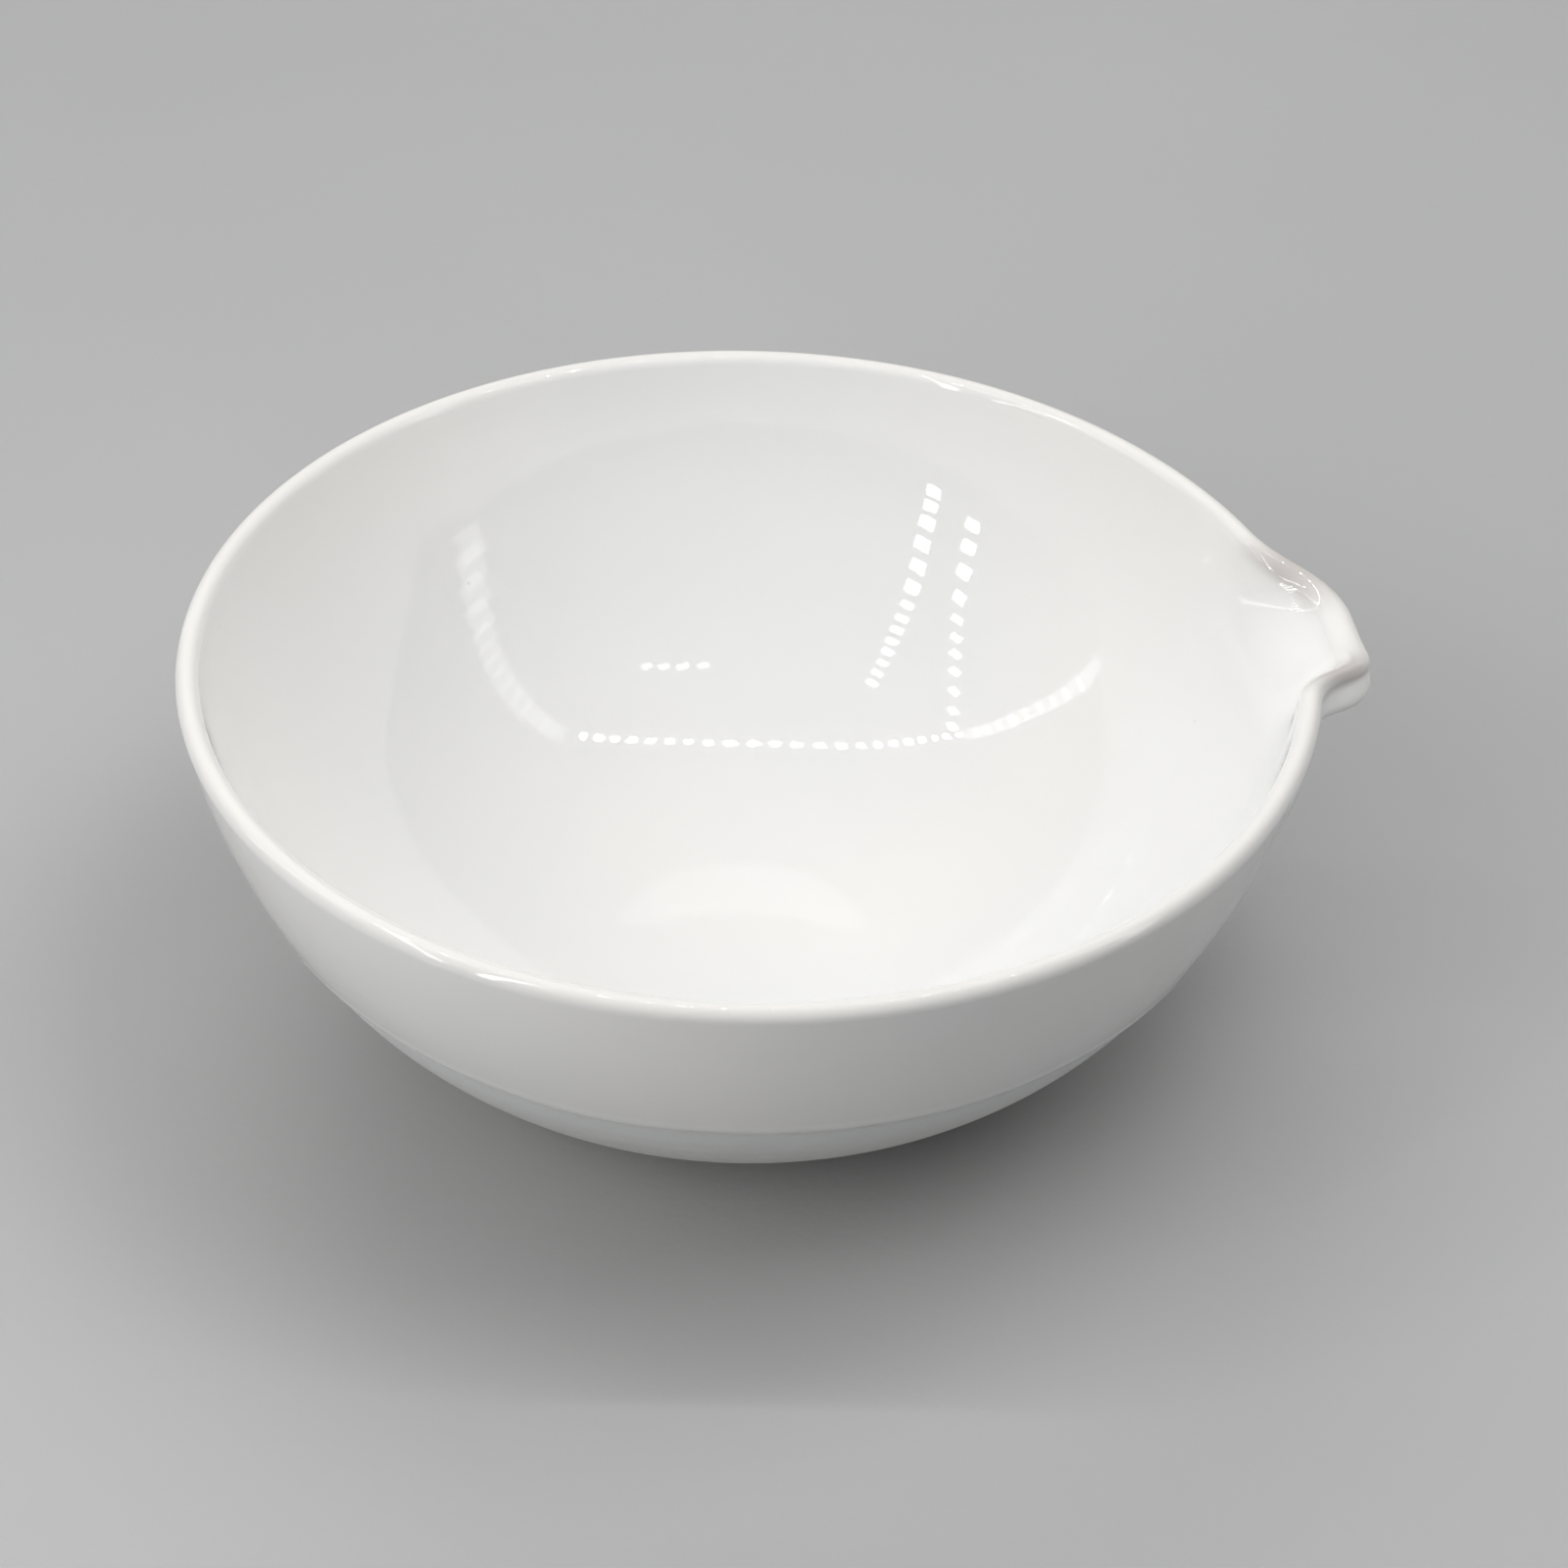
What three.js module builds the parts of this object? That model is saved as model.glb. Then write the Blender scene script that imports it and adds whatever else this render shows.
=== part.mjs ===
// A porcelain evaporating dish, 100 mm across the rim, with one pulled pouring spout.
//
// Millimetres, +Z up. The origin is the centre of the flat foot, and the spout points along +X.
// The dish is one fired body that carries two coats of glaze: one lines the inside, and one
// covers the outside down to a glaze line about half-way up the wall. The coats meet on the
// crest of the rim. Each of the three is a closed solid, and where two of them touch they
// share the same vertices.

import * as THREE from "three";
import { mergeVertices } from "three/addons/utils/BufferGeometryUtils.js";

const { degToRad, lerp, smoothstep } = THREE.MathUtils;

// The body's wall outside, from the foot to the rim: two tangent arcs that start level.
// A place on it is told by the wall's slope there: where the arcs meet, the glaze line, the rim.
const FOOT_RADIUS = 11.8;
const LOWER_ARC_RADIUS = 35.5;
const UPPER_ARC_RADIUS = 58.5;
const ARC_CHANGE_SLOPE = degToRad(58);
const GLAZE_LINE_SLOPE = degToRad(61.5);
const RIM_SLOPE = degToRad(79);

// Thicknesses
const FLOOR_WALL = 2.6;
const RIM_WALL = 1.6;
const GLAZE = 0.25;

// The spout: how far its lip reaches out and sags, how deep the sag goes, and its plan
const SPOUT_REACH = 5.3;
const SPOUT_DROP = 3.1;
const SAG_DEPTH = 10;
const SPOUT_HALF_ANGLE = degToRad(14.7);
const FLANK_STEEPNESS = 1.9;
const NOTCH_ROUNDING = 0.45;
const CORNER_ROUNDING = 0.45;

// The spout's flanks are pinched together at the lip
const PINCH = 0.17;
const PINCH_DEPTH = 2.6;

// The spout fades into the wall below the rim: a long trough inside, a short beak outside.
// The trough keeps a little less of the reach than the beak, which flares the lip.
const LIP_FLARE = 0.8;
const TROUGH_DEPTH = 8;
const BEAK_DEPTH = 5.2;
const FLANK_DEPTH = 2;
const BEAK_FULLNESS = 7;
const BEAK_BELLY = 0.15;

// Pulling the spout has also drawn the rim out a little on both sides of it
const SHOULDER_REACH = 0.4;
const SHOULDER_HALF_ANGLE = degToRad(38);
const SHOULDER_DEPTH = 20;

// Mesh density
const BARE_WALL_STEPS = 7;
const GLAZED_WALL_STEPS = 9;
const RIM_STEPS = 6;
const FINE_STEP = degToRad(2.5);
const FINE_STEPS_EACH_SIDE = 8;
const COARSE_STEPS = 40;

const PORCELAIN = { color: 0xe9e6e0, roughness: 0.75, metalness: 0 };
const WHITE_GLAZE = { color: 0xf4f3f0, roughness: 0.08, metalness: 0 };

// Angles about +Z from 0 to a full turn: close together across the spout, wider elsewhere
function meshAngles() {
  const fineSpan = FINE_STEPS_EACH_SIDE * FINE_STEP;
  const coarseStep = (2 * Math.PI - 2 * fineSpan) / COARSE_STEPS;
  const angles = [];
  for (let i = 0; i < FINE_STEPS_EACH_SIDE; i++) angles.push(i * FINE_STEP);
  for (let i = 0; i < COARSE_STEPS; i++) angles.push(fineSpan + i * coarseStep);
  for (let i = FINE_STEPS_EACH_SIDE; i > 0; i--) angles.push(2 * Math.PI - i * FINE_STEP);
  return angles;
}

const ANGLES = meshAngles();

// One point of the profile outside the body: its slope, radius and height
function wallPoint(slope) {
  const lowerSlope = Math.min(slope, ARC_CHANGE_SLOPE);
  const radius =
    FOOT_RADIUS +
    LOWER_ARC_RADIUS * Math.sin(lowerSlope) +
    UPPER_ARC_RADIUS * (Math.sin(slope) - Math.sin(lowerSlope));
  const height =
    LOWER_ARC_RADIUS * (1 - Math.cos(lowerSlope)) +
    UPPER_ARC_RADIUS * (Math.cos(lowerSlope) - Math.cos(slope));
  return { slope, radius, height };
}

const RIM = wallPoint(RIM_SLOPE);
const RIM_RADIUS = RIM_WALL / 2;
const RIM_CENTRE = {
  radius: RIM.radius - RIM_RADIUS * Math.sin(RIM_SLOPE),
  height: RIM.height + RIM_RADIUS * Math.cos(RIM_SLOPE),
};

// A profile row: a body point and the glaze point above it, with side 0 outside and 1 inside
function profileRow(radius, height, normalR, normalZ, side) {
  return {
    side,
    depth: Math.max(RIM.height - height, 0),
    body: { radius, height },
    glaze: { radius: radius + GLAZE * normalR, height: height + GLAZE * normalZ },
  };
}

function outsideRow(slope) {
  const wall = wallPoint(slope);
  return profileRow(wall.radius, wall.height, Math.sin(slope), -Math.cos(slope), 0);
}

function insideRow(slope) {
  const outside = wallPoint(slope);
  const [normalR, normalZ] = [-Math.sin(slope), Math.cos(slope)];
  const wall = lerp(FLOOR_WALL, RIM_WALL, smoothstep(outside.height, 0, RIM.height));
  const radius = outside.radius + wall * normalR;
  return profileRow(radius, outside.height + wall * normalZ, normalR, normalZ, 1);
}

// A row on the rounded rim, with share going from 0 outside to 1 inside
function rimRow(share) {
  const turn = RIM_SLOPE - Math.PI / 2 + share * Math.PI;
  const [normalR, normalZ] = [Math.cos(turn), Math.sin(turn)];
  const radius = RIM_CENTRE.radius + RIM_RADIUS * normalR;
  return profileRow(radius, RIM_CENTRE.height + RIM_RADIUS * normalZ, normalR, normalZ, share);
}

function axisRow(height, normalZ, side) {
  return profileRow(0, height, 0, normalZ, side);
}

// Slopes of the wall's rows from the foot up, closer together near the rim
function wallSlopes() {
  const slopes = [];
  for (let i = 0; i < BARE_WALL_STEPS; i++) {
    slopes.push((GLAZE_LINE_SLOPE * i) / BARE_WALL_STEPS);
  }
  for (let i = 0; i <= GLAZED_WALL_STEPS; i++) {
    const climbed = 1 - (1 - i / GLAZED_WALL_STEPS) ** 1.5;
    slopes.push(lerp(GLAZE_LINE_SLOPE, RIM_SLOPE, climbed));
  }
  return slopes;
}

// All rows, from the middle of the foot up the outside, over the rim and down to the floor
function profileRows() {
  const slopes = wallSlopes();
  const rows = [axisRow(0, -1, 0), ...slopes.map(outsideRow)];
  for (let i = 1; i < RIM_STEPS; i++) rows.push(rimRow(i / RIM_STEPS));
  rows.push(...slopes.reverse().map(insideRow));
  rows.push(axisRow(FLOOR_WALL, 1, 1));
  return rows;
}

// 0 below -rounding, x above it, and a parabola between
function softRamp(x, rounding) {
  if (x <= -rounding) return 0;
  if (x >= rounding) return x;
  return (x + rounding) ** 2 / (4 * rounding);
}

// The spout in plan: 1 across its lip, down to 0 at the notch on each side
function spoutPlan(angle, depth) {
  const pinch = 1 - PINCH * (1 - smoothstep(depth, 0, PINCH_DEPTH));
  const across = Math.abs(angle) / (SPOUT_HALF_ANGLE * pinch);
  const flank = softRamp(FLANK_STEEPNESS * (1 - across), NOTCH_ROUNDING);
  return 1 - softRamp(1 - flank, CORNER_ROUNDING);
}

// How much of the spout's reach is left at a depth below the rim, where plan is the reach there
function spoutFade(depth, side, plan) {
  const beak = Math.min(depth / lerp(FLANK_DEPTH, BEAK_DEPTH, plan), 1);
  const belly = BEAK_BELLY * 6.75 * beak ** 2 * (1 - beak);
  const outside = 1 - smoothstep(beak ** BEAK_FULLNESS, 0, 1) + belly;
  const inside = LIP_FLARE * Math.max(1 - depth / TROUGH_DEPTH, 0) ** 2;
  return lerp(outside, inside, side ** 2);
}

function spoutShift(angle, depth, side) {
  const plan = spoutPlan(angle, depth);
  const shoulder =
    (1 - smoothstep(Math.abs(angle), 0, SHOULDER_HALF_ANGLE)) *
    (1 - smoothstep(depth, 0, SHOULDER_DEPTH));
  const sag = 1 - smoothstep(Math.abs(angle), 0, SPOUT_HALF_ANGLE);
  return {
    out: SPOUT_REACH * plan * spoutFade(depth, side, plan) + SHOULDER_REACH * shoulder,
    down: SPOUT_DROP * sag * Math.max(1 - depth / SAG_DEPTH, 0) ** 2,
  };
}

// The ring of mesh points that a row sweeps about the axis; order keeps the rings sorted
function ring(row, surface, order) {
  const { radius, height } = row[surface];
  const points = ANGLES.map((angle) => {
    if (radius === 0) return new THREE.Vector3(0, 0, height);
    const fromSpout = angle > Math.PI ? angle - 2 * Math.PI : angle;
    const shift = spoutShift(fromSpout, row.depth, row.side);
    const reach = radius + shift.out;
    return new THREE.Vector3(
      reach * Math.cos(angle),
      reach * Math.sin(angle),
      height - shift.down,
    );
  });
  return { order, points };
}

// Two rings joined by triangles. Each diagonal is the same from whichever ring it is made,
// and the mesh is a mirror image of itself across the plane of the spout.
function bandBetween(from, to) {
  const triangles = [];
  from.points.forEach((a, i) => {
    const next = (i + 1) % ANGLES.length;
    const [b, c, d] = [from.points[next], to.points[next], to.points[i]];
    const rising = to.order > from.order === ANGLES[i] < Math.PI;
    const halves = rising ? [[a, b, c], [a, c, d]] : [[a, b, d], [b, c, d]];
    triangles.push(...halves.filter(hasArea));
  });
  return triangles;
}

function hasArea([a, b, c]) {
  return !a.equals(b) && !b.equals(c) && !c.equals(a);
}

// A closed solid from the rings round its section; closed also joins the last to the first
function sweptMesh(name, look, rings, closed) {
  const triangles = [];
  for (let i = 1; i < rings.length; i++) triangles.push(...bandBetween(rings[i - 1], rings[i]));
  if (closed) triangles.push(...bandBetween(rings.at(-1), rings[0]));
  const soup = new THREE.BufferGeometry().setFromPoints(triangles.flat());
  const geometry = mergeVertices(soup);
  geometry.computeVertexNormals();
  const mesh = new THREE.Mesh(geometry, new THREE.MeshStandardMaterial(look));
  mesh.name = name;
  return mesh;
}

const rows = profileRows();
const bodyRings = rows.map((row, i) => ring(row, "body", 2 * i));
const glazeRings = rows.map((row, i) => ring(row, "glaze", 2 * i + 1));
const glazeLine = 1 + BARE_WALL_STEPS;
const crest = glazeLine + GLAZED_WALL_STEPS + RIM_STEPS / 2;

const insideRings = [...bodyRings.slice(crest).reverse(), ...glazeRings.slice(crest)];
const outsideRings = [
  ...glazeRings.slice(glazeLine, crest + 1),
  ...bodyRings.slice(glazeLine, crest + 1).reverse(),
];

const dish = new THREE.Group();
dish.add(
  sweptMesh("porcelain_body", PORCELAIN, bodyRings, false),
  sweptMesh("inside_glaze", WHITE_GLAZE, insideRings, false),
  sweptMesh("outside_glaze", WHITE_GLAZE, outsideRings, true),
);

export default dish;
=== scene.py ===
import math
from typing import NamedTuple

import bmesh
import bpy
import numpy as np
from mathutils import Matrix, Vector


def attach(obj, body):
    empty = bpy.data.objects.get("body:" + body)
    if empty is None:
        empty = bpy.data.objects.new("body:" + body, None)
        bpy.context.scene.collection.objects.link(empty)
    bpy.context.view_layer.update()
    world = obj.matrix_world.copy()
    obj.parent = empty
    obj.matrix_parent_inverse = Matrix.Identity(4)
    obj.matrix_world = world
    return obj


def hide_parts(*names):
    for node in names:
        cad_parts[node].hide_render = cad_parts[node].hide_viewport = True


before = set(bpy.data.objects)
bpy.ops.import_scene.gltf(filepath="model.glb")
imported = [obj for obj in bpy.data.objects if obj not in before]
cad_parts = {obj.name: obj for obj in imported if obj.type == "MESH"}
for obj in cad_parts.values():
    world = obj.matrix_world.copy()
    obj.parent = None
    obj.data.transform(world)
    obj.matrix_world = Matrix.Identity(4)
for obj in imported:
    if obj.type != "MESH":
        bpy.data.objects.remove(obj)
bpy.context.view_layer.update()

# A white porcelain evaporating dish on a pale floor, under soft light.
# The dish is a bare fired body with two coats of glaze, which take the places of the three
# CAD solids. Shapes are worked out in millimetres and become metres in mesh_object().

MM = 0.001

# The body's wall outside, from the foot to the rim: two tangent arcs that start level
FOOT_RADIUS = 11.8
LOWER_ARC_RADIUS = 35.5
UPPER_ARC_RADIUS = 58.5
ARC_CHANGE_SLOPE = math.radians(58)
GLAZE_LINE_SLOPE = math.radians(61.5)
RIM_SLOPE = math.radians(79)

# Thicknesses
FLOOR_WALL = 2.6
RIM_WALL = 1.6
GLAZE = 0.25

# The spout, as in the CAD model
SPOUT_REACH = 5.3
SPOUT_DROP = 3.1
SPOUT_HALF_ANGLE = math.radians(14.7)
FLANK_STEEPNESS = 1.9
NOTCH_ROUNDING = 0.45
CORNER_ROUNDING = 0.45
PINCH = 0.17
PINCH_DEPTH = 2.6
SAG_DEPTH = 10
LIP_FLARE = 0.8
TROUGH_DEPTH = 8
BEAK_DEPTH = 5.2
FLANK_DEPTH = 2
BEAK_FULLNESS = 7
BEAK_BELLY = 0.15
SHOULDER_REACH = 0.4
SHOULDER_HALF_ANGLE = math.radians(38)
SHOULDER_DEPTH = 20

# The highest value of x**2 * (1 - x), the curve of the belly under the beak
BELLY_PEAK = 4 / 27

# The lower edge of the outer glaze. It wanders, as a sum of waves: how many round the dish,
# their size and where they start. It ends in a rounded edge with a bead above it.
LINE_WAVES = [(2, 0.30, 0.6), (5, 0.16, 2.1), (9, 0.10, 4.0), (17, 0.05, 1.2)]
EDGE_ROUNDING = 0.5
BEAD_HEIGHT = 0.06
BEAD_MIDDLE = 0.9
BEAD_WIDTH = 0.55
EDGE_ZONE = 3.0

# How closely the lighter band on the bare wall gathers under the glaze line, and how the painted
# shade on the spout's pinched flanks spreads along them and down from the rim
LIGHTER_BAND_SHARPNESS = 9
FLANK_SHADE_SPREAD = 0.7
FLANK_SHADE_ZONE = 0.8

# Mesh density: the angles crowd together at the spout, and the rows at the glaze line
ANGLE_COUNT = 384
ANGLE_CROWDING = 0.62
LOWER_ROWS = 44
EDGE_ROWS = 14
EDGE_CROWDING = 1.5
UPPER_ROWS = 40
RIM_ROWS = 20
INSIDE_ROWS = 84

# The camera: where it looks, from how far and from which side, and how it is tilted. Its near
# clip is in metres.
VIEW_AIM = (4.01, 3.05, 20.11)
VIEW_DISTANCE = 422.8
VIEW_AZIMUTH = math.radians(-9.87)
VIEW_ELEVATION = math.radians(37.06)
VIEW_ROLL = math.radians(-1.65)
LENS = 107.24
SENSOR = 36
NEAR_CLIP = 0.01


def smooth(x):
    """0 below 0, 1 above 1, and a smooth step between."""
    x = np.clip(x, 0, 1)
    return x * x * (3 - 2 * x)


def soft_ramp(x, rounding):
    """0 below -rounding, x above it, and a parabola between."""
    bend = (x + rounding) ** 2 / (4 * rounding)
    return np.where(x <= -rounding, 0, np.where(x >= rounding, x, bend))


def mesh_angles():
    """A full turn of angles about +Z, closest together at the spout."""
    even = np.linspace(-math.pi, math.pi, ANGLE_COUNT, endpoint=False)
    return even - ANGLE_CROWDING * np.sin(even)


ANGLES = mesh_angles()


# ---- The profile: rows of points in a section of the dish, one column for each angle


def wall_point(slope):
    """Radius and height outside the body where its wall has that slope."""
    lower = np.minimum(slope, ARC_CHANGE_SLOPE)
    radius = (
        FOOT_RADIUS
        + LOWER_ARC_RADIUS * np.sin(lower)
        + UPPER_ARC_RADIUS * (np.sin(slope) - np.sin(lower))
    )
    height = LOWER_ARC_RADIUS * (1 - np.cos(lower)) + UPPER_ARC_RADIUS * (
        np.cos(lower) - np.cos(slope)
    )
    return radius, height


RIM_POINT = wall_point(RIM_SLOPE)
RIM_RADIUS = RIM_WALL / 2
RIM_CENTRE = (
    RIM_POINT[0] - RIM_RADIUS * math.sin(RIM_SLOPE),
    RIM_POINT[1] + RIM_RADIUS * math.cos(RIM_SLOPE),
)


def outside_rows(slope):
    """Radius, height, normal and side (0) of rows on the wall outside the body."""
    radius, height = wall_point(slope)
    return radius, height, np.sin(slope), -np.cos(slope), np.zeros_like(slope)


def inside_rows(slope):
    """The same of rows on the wall inside the body, whose side is 1."""
    radius, height = wall_point(slope)
    across, up = -np.sin(slope), np.cos(slope)
    wall = FLOOR_WALL + (RIM_WALL - FLOOR_WALL) * smooth(height / RIM_POINT[1])
    return radius + wall * across, height + wall * up, across, up, np.ones_like(slope)


def rim_rows(share):
    """The same of rows on the round rim, with share going from 0 outside to 1 inside."""
    turn = RIM_SLOPE - math.pi / 2 + share * math.pi
    across, up = np.cos(turn), np.sin(turn)
    radius, height = RIM_CENTRE[0] + RIM_RADIUS * across, RIM_CENTRE[1] + RIM_RADIUS * up
    return radius, height, across, up, share


def line_slope():
    """Slope of the wall at the glaze line, which wanders up and down round the dish."""
    wander = sum(size * np.sin(count * ANGLES + start) for count, size, start in LINE_WAVES)
    return GLAZE_LINE_SLOPE + wander / UPPER_ARC_RADIUS


def spout_plan(depth):
    """The spout in plan: 1 across its lip, down to 0 at the notch on each side."""
    pinch = 1 - PINCH * (1 - smooth(depth / PINCH_DEPTH))
    across = np.abs(ANGLES)[None] / (SPOUT_HALF_ANGLE * pinch)
    flank = soft_ramp(FLANK_STEEPNESS * (1 - across), NOTCH_ROUNDING)
    return 1 - soft_ramp(1 - flank, CORNER_ROUNDING)


def spout_shift(depth, side):
    """How far the spout moves a point out and down, at a depth below the rim."""
    off_axis = np.abs(ANGLES)[None]
    plan = spout_plan(depth)
    beak = np.minimum(depth / (FLANK_DEPTH + (BEAK_DEPTH - FLANK_DEPTH) * plan), 1)
    belly = BEAK_BELLY / BELLY_PEAK * beak**2 * (1 - beak)
    outside = 1 - smooth(beak**BEAK_FULLNESS) + belly
    inside = LIP_FLARE * np.maximum(1 - depth / TROUGH_DEPTH, 0) ** 2
    fade = outside + (inside - outside) * side**2
    shoulder = (1 - smooth(off_axis / SHOULDER_HALF_ANGLE)) * (1 - smooth(depth / SHOULDER_DEPTH))
    sag = (1 - smooth(off_axis / SPOUT_HALF_ANGLE)) * np.maximum(1 - depth / SAG_DEPTH, 0) ** 2
    return SPOUT_REACH * plan * fade + SHOULDER_REACH * shoulder, SPOUT_DROP * sag


class Skin:
    """Rows of points on the body, with what is needed to lay glaze on them."""

    def __init__(self, parts):
        columns = [np.concatenate(part) for part in zip(*parts)]
        self.radius, self.height, self.across, self.up, self.side = columns
        self.depth = np.maximum(RIM_POINT[1] - self.height, 0)

    def rings(self, thickness):
        """The rows of points, raised off the body by a thickness of glaze."""
        out, down = spout_shift(self.depth, self.side)
        reach = self.radius + thickness * self.across + out
        height = self.height + thickness * self.up - down
        return np.stack([reach * np.cos(ANGLES), reach * np.sin(ANGLES), height], -1)


def lower_skin():
    """From the foot up the outside to the glaze line."""
    share = np.linspace(0, 1, LOWER_ROWS, endpoint=False)[:, None]
    return Skin([outside_rows(line_slope()[None] * share)])


GLAZED_WAY = UPPER_ARC_RADIUS * (RIM_SLOPE - GLAZE_LINE_SLOPE)


def climb_of_upper_rows():
    """Distance of each row above the glaze line along the wall."""
    edge = EDGE_ZONE * np.linspace(0, 1, EDGE_ROWS, endpoint=False) ** EDGE_CROWDING
    return np.concatenate([edge, np.linspace(EDGE_ZONE, GLAZED_WAY, UPPER_ROWS)])


def upper_skin():
    """From the glaze line up the outside to the rim's crest."""
    climb = (climb_of_upper_rows() / GLAZED_WAY)[:, None]
    line = line_slope()[None]
    rim = np.linspace(0, 0.5, RIM_ROWS + 1)[1:, None] + 0 * ANGLES
    return Skin([outside_rows(line + (RIM_SLOPE - line) * climb), rim_rows(rim)])


def inner_skin():
    """From the rim's crest down the inside to the floor."""
    rim = np.linspace(0.5, 1, RIM_ROWS, endpoint=False)[:, None] + 0 * ANGLES
    slope = np.linspace(RIM_SLOPE, 0, INSIDE_ROWS)[:, None] + 0 * ANGLES
    return Skin([rim_rows(rim), inside_rows(slope)])


def bead_by_row():
    """1 on the middle of the bead along the glaze's lower edge, down to 0 away from it."""
    bead = np.exp(-(((climb_of_upper_rows() - BEAD_MIDDLE) / BEAD_WIDTH) ** 2))
    return np.concatenate([bead, np.zeros(RIM_ROWS)])[:, None]


def edge_thickness():
    """The outer glaze's thickness by row: none at the line, a round edge, a bead, then even."""
    edge = np.minimum(climb_of_upper_rows() / EDGE_ROUNDING, 1)
    rounding = np.concatenate([np.sqrt(1 - (1 - edge) ** 2), np.ones(RIM_ROWS)])[:, None]
    return (GLAZE + BEAD_HEIGHT * bead_by_row()) * rounding


# ---- Meshes from rings


def ring_faces(a, b):
    """Quads between two rings, or triangles where one of them is a single point."""
    pairs = [(i, (i + 1) % ANGLE_COUNT) for i in range(ANGLE_COUNT)]
    if len(a) == 1:
        return [(a[0], b[j], b[i]) for i, j in pairs]
    if len(b) == 1:
        return [(a[i], a[j], b[0]) for i, j in pairs]
    return [(a[i], a[j], b[j], b[i]) for i, j in pairs]


def mesh_object(name, rings, closed):
    """A mesh through rings of points in millimetres; closed joins the last ring to the first."""
    points = [tuple(point * MM) for ring in rings for point in ring]
    rows, start = [], 0
    for ring in rings:
        rows.append(range(start, start + len(ring)))
        start += len(ring)
    pairs = list(zip(rows, rows[1:])) + ([(rows[-1], rows[0])] if closed else [])
    faces = [face for a, b in pairs for face in ring_faces(a, b)]
    mesh = bpy.data.meshes.new(name)
    mesh.from_pydata(points, [], faces)
    mesh.shade_smooth()
    piece = bpy.data.objects.new(name, mesh)
    bpy.context.scene.collection.objects.link(piece)
    return piece


def axis_point(height):
    return np.array([[0, 0, height]])


def surface_normals(before, after, ring):
    """Normals on a ring, from the rings before and after it along the surface."""
    around = np.roll(ring, -1, 0) - np.roll(ring, 1, 0)
    normals = np.cross(around, after - before)
    return normals / np.linalg.norm(normals, axis=1, keepdims=True)


def set_seam_normals(piece, seams):
    """Shades rings of a coat as parts of the whole skin, not as the corners of a solid."""
    normals = np.zeros((len(piece.data.vertices), 3))
    for first_vertex, ring_normals in seams:
        normals[first_vertex : first_vertex + len(ring_normals)] = ring_normals
    piece.data.normals_split_custom_set_from_vertices(normals.tolist())


def set_point_values(piece, name, first_vertex, rows):
    """A named value on the points of some rings, from first_vertex on, and 0 on the others."""
    values = np.zeros(len(piece.data.vertices), np.float32)
    along = (rows + 0 * ANGLES).ravel()
    values[first_vertex : first_vertex + len(along)] = along
    attribute = piece.data.attributes.new(name, "FLOAT", "POINT")
    attribute.data.foreach_set("value", values)


def thin_on_crest(skin):
    """1 on the crest of the rim, where glaze runs thin, down to 0 on both walls."""
    return (4 * skin.side * (1 - skin.side)) ** 2


def shade_on_flanks(skin):
    """1 on the spout's pinched flanks, where shade is painted into the glaze, down to 0 round
    them.
    """
    plan = spout_plan(skin.depth)
    along = (4 * plan * (1 - plan)) ** FLANK_SHADE_SPREAD
    return along * (1 - smooth(skin.depth / FLANK_SHADE_ZONE))


# ---- The pieces


def make_body():
    lower, upper, inner = lower_skin().rings(0), upper_skin().rings(0), inner_skin().rings(0)
    rings = [axis_point(0), *lower, *upper, *inner, axis_point(FLOOR_WALL)]
    body = mesh_object("fired_body", rings, False)
    below_line = np.linspace(0, 1, LOWER_ROWS, endpoint=False)[:, None]
    # A lighter, bluer band on the bare wall, strongest just under the glaze line
    set_point_values(body, "lighter_band", 1, below_line**LIGHTER_BAND_SHARPNESS)
    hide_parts("porcelain_body")
    return body


def make_outside_coat():
    skin = upper_skin()
    glaze, body = skin.rings(edge_thickness()), skin.rings(0)
    coat = mesh_object("glaze_outside", [*glaze, *body[:0:-1]], True)
    inner = inner_skin().rings(GLAZE)
    crest = len(glaze) - 1
    set_seam_normals(
        coat,
        [
            (0, surface_normals(glaze[0], glaze[1], glaze[0])),
            (crest * ANGLE_COUNT, surface_normals(glaze[-2], inner[1], glaze[-1])),
        ],
    )
    set_point_values(coat, "thin", 0, thin_on_crest(skin))
    # Painted shade on the spout's flanks
    set_point_values(coat, "painted_flank_shade", 0, shade_on_flanks(skin))
    set_point_values(coat, "pooled", 0, bead_by_row())
    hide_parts("outside_glaze")
    return coat


def make_inside_coat():
    skin = inner_skin()
    glaze, body = skin.rings(GLAZE), skin.rings(0)
    rings = [axis_point(FLOOR_WALL), *body[::-1], *glaze, axis_point(FLOOR_WALL + GLAZE)]
    coat = mesh_object("glaze_inside", rings, False)
    outer = upper_skin().rings(GLAZE)
    crest = 1 + len(body) * ANGLE_COUNT
    set_seam_normals(coat, [(crest, surface_normals(outer[-2], glaze[1], glaze[0]))])
    set_point_values(coat, "thin", crest, thin_on_crest(skin))
    # Painted shade on the spout's flanks
    set_point_values(coat, "painted_flank_shade", crest, shade_on_flanks(skin))
    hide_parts("inside_glaze")
    return coat


# ---- Materials


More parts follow.
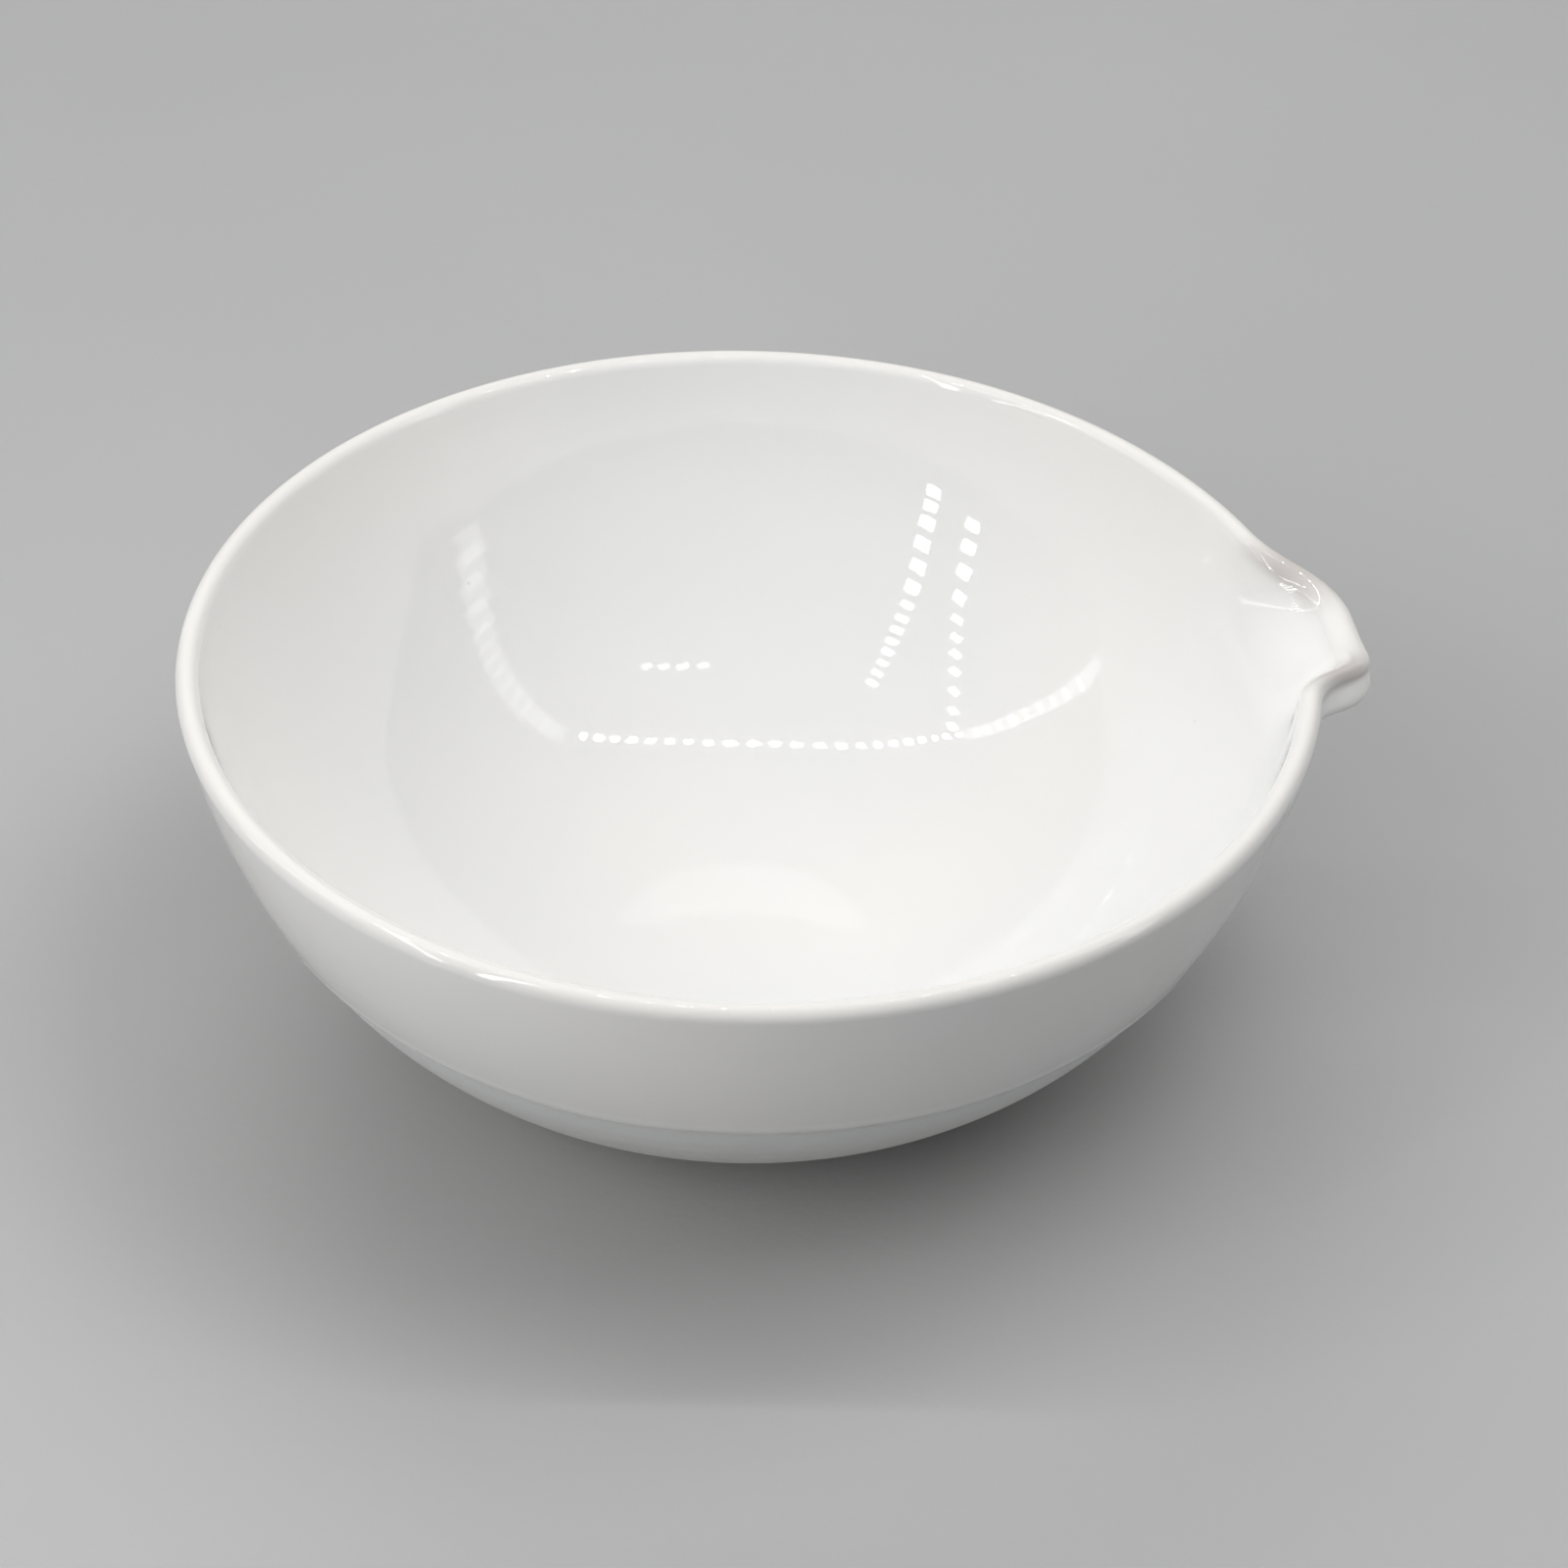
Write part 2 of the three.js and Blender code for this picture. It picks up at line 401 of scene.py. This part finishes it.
class Nodes:
    """Short names for adding nodes to a material."""

    def __init__(self, name):
        self.material = bpy.data.materials.new(name)
        self.material.use_nodes = True
        self.tree = self.material.node_tree
        self.shader = self.tree.nodes["Principled BSDF"]
        self.place = self.tree.nodes.new("ShaderNodeTexCoord").outputs["Object"]

    def link(self, value, socket):
        if isinstance(value, bpy.types.NodeSocket):
            self.tree.links.new(value, socket)
        else:
            socket.default_value = value

    def noise(self, scale, detail=2, roughness=0.5):
        node = self.tree.nodes.new("ShaderNodeTexNoise")
        node.inputs["Scale"].default_value = scale
        node.inputs["Detail"].default_value = detail
        node.inputs["Roughness"].default_value = roughness
        self.link(self.place, node.inputs["Vector"])
        return node.outputs["Fac"]

    def rings(self, scale, distortion):
        """Fine rings about the dish's axis, as a potter's wheel leaves."""
        node = self.tree.nodes.new("ShaderNodeTexWave")
        node.wave_type = "RINGS"
        node.rings_direction = "SPHERICAL"
        node.inputs["Scale"].default_value = scale
        node.inputs["Distortion"].default_value = distortion
        node.inputs["Detail"].default_value = 2
        node.inputs["Detail Scale"].default_value = 1
        self.link(self.place, node.inputs["Vector"])
        return node.outputs["Fac"]

    def ramp(self, value, low, high, start=0.0, end=1.0):
        """value from low..high, mapped to start..end and held there."""
        node = self.tree.nodes.new("ShaderNodeMapRange")
        ends = {"From Min": low, "From Max": high, "To Min": start, "To Max": end}
        for name, number in ends.items():
            node.inputs[name].default_value = number
        self.link(value, node.inputs["Value"])
        return node.outputs["Result"]

    def maths(self, operation, first, second):
        node = self.tree.nodes.new("ShaderNodeMath")
        node.operation = operation
        self.link(first, node.inputs[0])
        self.link(second, node.inputs[1])
        return node.outputs["Value"]

    def mix(self, share, first, second):
        node = self.tree.nodes.new("ShaderNodeMix")
        node.data_type = "RGBA"
        self.link(share, node.inputs["Factor"])
        self.link(first, node.inputs["A"])
        self.link(second, node.inputs["B"])
        return node.outputs["Result"]

    def attribute(self, name):
        node = self.tree.nodes.new("ShaderNodeAttribute")
        node.attribute_name = name
        return node.outputs["Fac"]

    def specks(self, scale, size, rarity):
        """Small round specks in a few of a cell pattern's cells."""
        node = self.tree.nodes.new("ShaderNodeTexVoronoi")
        node.inputs["Scale"].default_value = scale
        self.link(self.place, node.inputs["Vector"])
        split = self.tree.nodes.new("ShaderNodeSeparateColor")
        self.link(node.outputs["Color"], split.inputs["Color"])
        near = self.ramp(node.outputs["Distance"], size, size / 2)
        chosen = self.ramp(split.outputs["Red"], rarity, rarity + 0.001)
        return self.maths("MULTIPLY", near, chosen)

    def bump(self, height, distance, below=None):
        node = self.tree.nodes.new("ShaderNodeBump")
        node.inputs["Distance"].default_value = distance
        self.link(height, node.inputs["Height"])
        if below is not None:
            self.link(below, node.inputs["Normal"])
        return node.outputs["Normal"]

    def finish(self, colour, roughness, normal):
        self.link(colour, self.shader.inputs["Base Color"])
        self.link(roughness, self.shader.inputs["Roughness"])
        self.link(normal, self.shader.inputs["Normal"])
        return self.material


def rgb(red, green, blue):
    return (red, green, blue, 1)


# Heights of the relief in the glaze and on the bare body, in metres
GLAZE_WAVES = 0.00005
WHEEL_RINGS = 0.000004
ORANGE_PEEL = 0.000004
PINHOLES = -0.00003
TURNING_MARKS = 0.00002
GRIT = 0.00003
FLOOR_GRIT = 0.00003

GLAZE_IOR = 1.52


def glaze_material(name):
    """White glaze: mirror-smooth but for a faint waviness, with a few iron specks and pinholes."""
    n = Nodes(name)
    drift = n.ramp(n.noise(scale=22), low=0.35, high=0.65)
    white = n.mix(drift, rgb(0.86, 0.85, 0.83), rgb(0.83, 0.83, 0.825))
    thin = n.mix(n.attribute("thin"), white, rgb(0.85, 0.835, 0.80))
    # Painted shade: the spout's flanks are darkened to grey-brown, as if in shadow
    flank_shade_share = n.maths("MULTIPLY", n.attribute("painted_flank_shade"), 0.65)
    painted_flank_shade = n.mix(flank_shade_share, thin, rgb(0.50, 0.45, 0.43))
    pooled = n.mix(n.attribute("pooled"), painted_flank_shade, rgb(0.80, 0.80, 0.79))
    iron = n.maths("MULTIPLY", n.specks(scale=160, size=0.055, rarity=0.985), 0.7)
    specked = n.mix(iron, pooled, rgb(0.22, 0.17, 0.12))
    roughness = n.ramp(n.noise(scale=60, detail=3), low=0.3, high=0.7, start=0.02, end=0.05)
    waves = n.bump(n.noise(scale=90, detail=1), GLAZE_WAVES)
    rings = n.bump(n.rings(scale=55, distortion=1.5), WHEEL_RINGS, waves)
    peel = n.bump(n.noise(scale=620, detail=1), ORANGE_PEEL, rings)
    pits = n.bump(n.specks(scale=330, size=0.06, rarity=0.97), PINHOLES, peel)
    n.shader.inputs["IOR"].default_value = GLAZE_IOR
    return n.finish(specked, roughness, pits)


def bare_material():
    """Unglazed fired porcelain: matte, finely grained, with turning marks and kiln specks."""
    n = Nodes("bare_fired_porcelain")
    drift = n.ramp(n.noise(scale=35, detail=4), low=0.3, high=0.7)
    mottle = n.mix(drift, rgb(0.72, 0.71, 0.69), rgb(0.66, 0.655, 0.64))
    grains = n.ramp(n.noise(scale=900, detail=3), low=0.35, high=0.75, start=0, end=0.35)
    grain = n.mix(grains, mottle, rgb(0.55, 0.54, 0.52))
    # A lighter, bluer colour on the bare wall just under the glaze line
    lighter_band = n.mix(n.attribute("lighter_band"), grain, rgb(0.73, 0.745, 0.75))
    specks = n.maths("MULTIPLY", n.specks(scale=420, size=0.09, rarity=0.975), 0.5)
    specked = n.mix(specks, lighter_band, rgb(0.3, 0.25, 0.2))
    roughness = n.ramp(n.noise(scale=120, detail=3), low=0.3, high=0.7, start=0.52, end=0.72)
    turning = n.bump(n.rings(scale=150, distortion=0.8), TURNING_MARKS)
    grit = n.bump(n.noise(scale=2600, detail=3, roughness=0.6), GRIT, turning)
    return n.finish(specked, roughness, grit)


def floor_material():
    n = Nodes("pale_floor")
    drift = n.ramp(n.noise(scale=6, detail=3), low=0.3, high=0.7)
    colour = n.mix(drift, rgb(0.44, 0.44, 0.44), rgb(0.47, 0.47, 0.47))
    roughness = n.ramp(n.noise(scale=14), low=0.3, high=0.7, start=0.7, end=0.8)
    return n.finish(colour, roughness, n.bump(n.noise(scale=900), FLOOR_GRIT))


# ---- Floor, light and camera

# Lengths and places in metres
FLOOR_RADIUS = 4.0
FLOOR_SIDES = 96
DISH_MIDDLE = Vector((0, 0, 0.02))

WORLD_COLOUR = rgb(0.9, 0.92, 0.95)
WORLD_STRENGTH = 0.07


def make_floor():
    builder = bmesh.new()
    bmesh.ops.create_circle(builder, cap_ends=True, radius=FLOOR_RADIUS, segments=FLOOR_SIDES)
    mesh = bpy.data.meshes.new("floor")
    builder.to_mesh(mesh)
    builder.free()
    mesh.materials.append(floor_material())
    floor = bpy.data.objects.new("floor", mesh)
    bpy.context.scene.collection.objects.link(floor)


def make_world():
    world = bpy.data.worlds.new("studio")
    world.use_nodes = True
    background = world.node_tree.nodes["Background"]
    background.inputs["Color"].default_value = WORLD_COLOUR
    background.inputs["Strength"].default_value = WORLD_STRENGTH
    bpy.context.scene.world = world


def area_light(name, place, size, watts, mirrored=True):
    """A rectangular light that faces the dish; mirrored ones show in glossy surfaces."""
    light = bpy.data.lights.new(name, "AREA")
    light.shape = "RECTANGLE"
    light.size, light.size_y = size
    light.energy = watts
    lamp = bpy.data.objects.new(name, light)
    facing = (DISH_MIDDLE - place).to_track_quat("-Z", "Y")
    lamp.matrix_world = Matrix.Translation(place) @ facing.to_matrix().to_4x4()
    lamp.visible_glossy = mirrored
    bpy.context.scene.collection.objects.link(lamp)


class LampRow(NamedTuple):
    """Lamps along a curve from start to end, pulled towards bend, in metres and watts."""

    start: tuple
    bend: tuple
    end: tuple
    count: int
    width: float
    height: float
    watts: float


# The lamps that show in the glaze, placed so that it mirrors them where the photo shows them
LAMP_ROWS = {
    "overhead": LampRow(
        start=(0.19, -0.022, 0.40),
        bend=(-0.032, 0.0095, 0.40),
        end=(-0.285, 0.055, 0.40),
        count=22,
        width=0.009,
        height=0.009,
        watts=0.018,
    ),
    "front_left": LampRow(
        start=(-0.23, -0.182, 0.09),
        bend=(-0.23, -0.179, 0.20),
        end=(-0.23, -0.122, 0.455),
        count=14,
        width=0.019,
        height=0.012,
        watts=0.012,
    ),
    "left": LampRow(
        start=(-0.30, -0.158, 0.115),
        bend=(-0.30, -0.142, 0.24),
        end=(-0.30, 0.034, 0.418),
        count=11,
        width=0.02,
        height=0.013,
        watts=0.0125,
    ),
    "right": LampRow(
        start=(0.30, -0.178, 0.105),
        bend=(0.30, -0.087, 0.237),
        end=(0.30, -0.04, 0.50),
        count=14,
        width=0.042,
        height=0.035,
        watts=0.0065,
    ),
    "left_end": LampRow(
        start=(-0.30, 0.06, 0.385),
        bend=(-0.30, 0.066, 0.24),
        end=(-0.30, 0.086, 0.12),
        count=10,
        width=0.022,
        height=0.033,
        watts=0.005,
    ),
    "front": LampRow(
        start=(0.122, -0.189, 0.40),
        bend=(0.08, -0.187, 0.40),
        end=(0.035, -0.183, 0.40),
        count=4,
        width=0.018,
        height=0.012,
        watts=0.005,
    ),
    "back_right": LampRow(
        start=(0.30, 0.236, 0.026),
        bend=(0.30, 0.256, 0.076),
        end=(0.30, 0.327, 0.096),
        count=4,
        width=0.012,
        height=0.03,
        watts=0.0012,
    ),
    "back_left": LampRow(
        start=(-0.192, 0.30, 0.02),
        bend=(-0.191, 0.30, 0.058),
        end=(-0.155, 0.30, 0.115),
        count=4,
        width=0.012,
        height=0.03,
        watts=0.0012,
    ),
}

# Large panels, which leave no reflection: place and size in metres, and watts
PANELS = {
    "top_panel": ((0.0, 0.05, 0.62), (0.75, 0.6), 0.3),
    "top_right_panel": ((0.35, 0.0, 0.62), (0.5, 0.5), 1.75),
    "back_panel": ((0.0, 0.60, 0.45), (0.5, 0.5), 1.9),
    "left_panel": ((-0.65, -0.10, 0.40), (0.45, 0.45), 0.8),
    "front_left_panel": ((-0.42, -0.55, 0.48), (0.5, 0.5), 1.2),
}


def on_curve(start, bend, end, share):
    """A point on the quadratic curve from start to end, pulled towards bend."""
    start, bend, end = Vector(start), Vector(bend), Vector(end)
    return start.lerp(bend, share).lerp(bend.lerp(end, share), share)


def make_lamp_rows():
    for name, row in LAMP_ROWS.items():
        for i in range(row.count):
            place = on_curve(row.start, row.bend, row.end, i / (row.count - 1))
            area_light(f"{name}_{i}", place, (row.width, row.height), row.watts)


def make_panels():
    for name, (place, size, watts) in PANELS.items():
        area_light(name, Vector(place), size, watts, mirrored=False)


def make_camera():
    camera = bpy.data.objects.new("camera", bpy.data.cameras.new("camera"))
    camera.data.lens = LENS
    camera.data.sensor_width = SENSOR
    camera.data.clip_start = NEAR_CLIP
    level = math.cos(VIEW_ELEVATION)
    towards = Vector(
        (level * math.sin(VIEW_AZIMUTH), -level * math.cos(VIEW_AZIMUTH), math.sin(VIEW_ELEVATION))
    )
    aimed = towards.to_track_quat("Z", "Y").to_matrix().to_4x4()
    camera.matrix_world = (
        Matrix.Translation(MM * (Vector(VIEW_AIM) + VIEW_DISTANCE * towards))
        @ aimed
        @ Matrix.Rotation(-VIEW_ROLL, 4, "Z")
    )
    bpy.context.scene.collection.objects.link(camera)
    bpy.context.scene.camera = camera


def make_dish():
    body, outside, inside = make_body(), make_outside_coat(), make_inside_coat()
    body.data.materials.append(bare_material())
    outside.data.materials.append(glaze_material("white_glaze_outside"))
    inside.data.materials.append(glaze_material("white_glaze_inside"))
    for piece in (body, outside, inside):
        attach(piece, "root")


bpy.context.scene.view_settings.view_transform = "Standard"
make_camera()
make_world()
make_panels()
make_lamp_rows()
make_floor()
make_dish()
